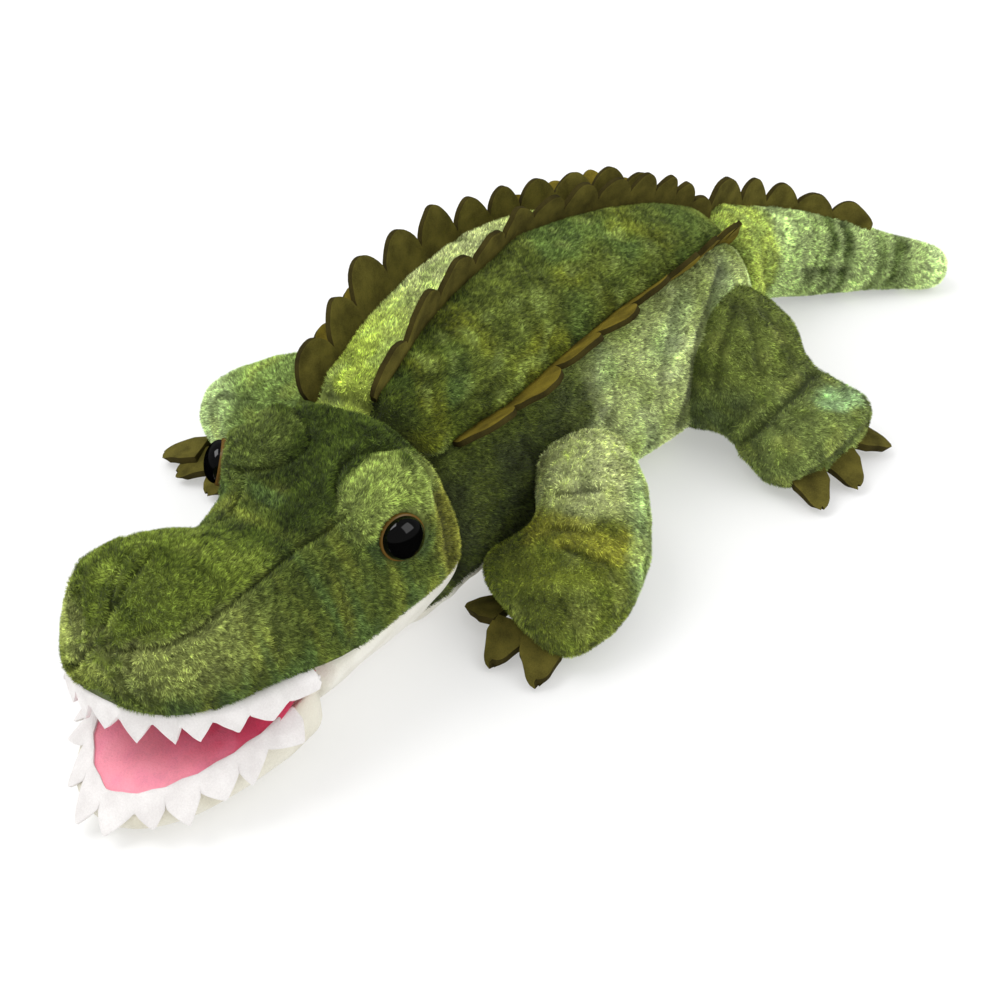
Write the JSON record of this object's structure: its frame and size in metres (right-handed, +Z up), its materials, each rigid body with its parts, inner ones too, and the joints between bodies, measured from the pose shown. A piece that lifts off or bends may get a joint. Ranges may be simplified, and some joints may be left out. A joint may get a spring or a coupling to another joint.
{
  "type": "plush crocodile",
  "caption": "Plush crocodile lying on its belly, mouth open, with felt back scales, felt teeth and claws, safety eyes and soft limbs, jaw and tail that bend and spring back.",
  "frame": {"origin": "middle of the toy's box, on the surface that it lies on", "axes": "+Z up, the toy looks along -Y with its tail towards +Y, and its left side is +X"},
  "size_m": [0.2124, 0.464, 0.113],
  "materials": {
    "moss_green_fur": "short dense plush pile",
    "yellow_green_fur": "short dense plush pile",
    "pale_green_fur": "short dense plush pile",
    "olive_green_fur": "short dense plush pile",
    "cream_fur": "short dense plush pile",
    "olive_felt": "pressed felt",
    "white_felt": "pressed felt",
    "pink_lining": "short-napped lining cloth",
    "black_gloss": "polished acrylic with an amber rim",
    "clear_plastic": "moulded",
    "polyester_filling": "loose fibre filling"
  },
  "bodies": {
    "body": {"torso": "polyester_filling", "spine_band": "yellow_green_fur", "back_panel_left": "moss_green_fur", "back_panel_right": "moss_green_fur", "side_panel_left": "pale_green_fur", "side_panel_right": "pale_green_fur", "belly_panel": "cream_fur", "spine_scales_left": "olive_felt", "spine_scales_right": "olive_felt", "flank_scales_left": "olive_felt", "flank_scales_right": "olive_felt"},
    "head": {"head": "moss_green_fur", "throat": "cream_fur", "palate": "pink_lining", "upper_teeth": "white_felt", "brow_left": "olive_green_fur", "brow_right": "olive_green_fur", "eye_left": "black_gloss", "eye_right": "black_gloss", "eye_washer_left": "clear_plastic", "eye_washer_right": "clear_plastic"},
    "jaw": {"lower_jaw": "cream_fur", "mouth_floor": "pink_lining", "lower_teeth": "white_felt"},
    "tail": {"tail": "pale_green_fur", "tail_crest": "olive_felt"},
    "front_left_leg": {"front_left_leg": "olive_green_fur", "front_left_claw_1": "olive_felt", "front_left_claw_2": "olive_felt", "front_left_claw_3": "olive_felt"},
    "front_right_leg": {"front_right_leg": "olive_green_fur", "front_right_claw_1": "olive_felt", "front_right_claw_2": "olive_felt", "front_right_claw_3": "olive_felt"},
    "hind_left_leg": {"hind_left_leg": "olive_green_fur", "hind_left_claw_1": "olive_felt", "hind_left_claw_2": "olive_felt", "hind_left_claw_3": "olive_felt"},
    "hind_right_leg": {"hind_right_leg": "olive_green_fur", "hind_right_claw_1": "olive_felt", "hind_right_claw_2": "olive_felt", "hind_right_claw_3": "olive_felt"}
  },
  "joints": [
    {"name": "neck_turn", "type": "hinge", "parent": "body", "child": "head", "pos_m": [0.01991, -0.08479, 0.04], "axis": [0, 0, 1], "range_deg": [-12, 12], "stiffness_Nm_per_rad": 0.6},
    {"name": "jaw_bend", "type": "hinge", "parent": "head", "child": "jaw", "pos_m": [0.03723, -0.16655, 0.036], "axis": [0.9848, 0.1736, 0], "range_deg": [-2, 8], "stiffness_Nm_per_rad": 0.5},
    {"name": "tail_sway", "type": "hinge", "parent": "body", "child": "tail", "pos_m": [-0.00009, 0.11321, 0.036], "axis": [0, 0, 1], "range_deg": [-14, 14], "stiffness_Nm_per_rad": 0.5},
    {"name": "front_left_leg_lift", "type": "hinge", "parent": "body", "child": "front_left_leg", "pos_m": [0.03991, -0.03879, 0.046], "axis": [0, -1, 0], "range_deg": [-8, 30], "stiffness_Nm_per_rad": 0.5},
    {"name": "front_right_leg_lift", "type": "hinge", "parent": "body", "child": "front_right_leg", "pos_m": [-0.03209, -0.04879, 0.046], "axis": [0, 1, 0], "range_deg": [-8, 30], "stiffness_Nm_per_rad": 0.5},
    {"name": "hind_left_leg_lift", "type": "hinge", "parent": "body", "child": "hind_left_leg", "pos_m": [0.03991, 0.08321, 0.046], "axis": [0, -1, 0], "range_deg": [-8, 30], "stiffness_Nm_per_rad": 0.5},
    {"name": "hind_right_leg_lift", "type": "hinge", "parent": "body", "child": "hind_right_leg", "pos_m": [-0.03209, 0.07721, 0.046], "axis": [0, 1, 0], "range_deg": [-8, 30], "stiffness_Nm_per_rad": 0.5}
  ]
}
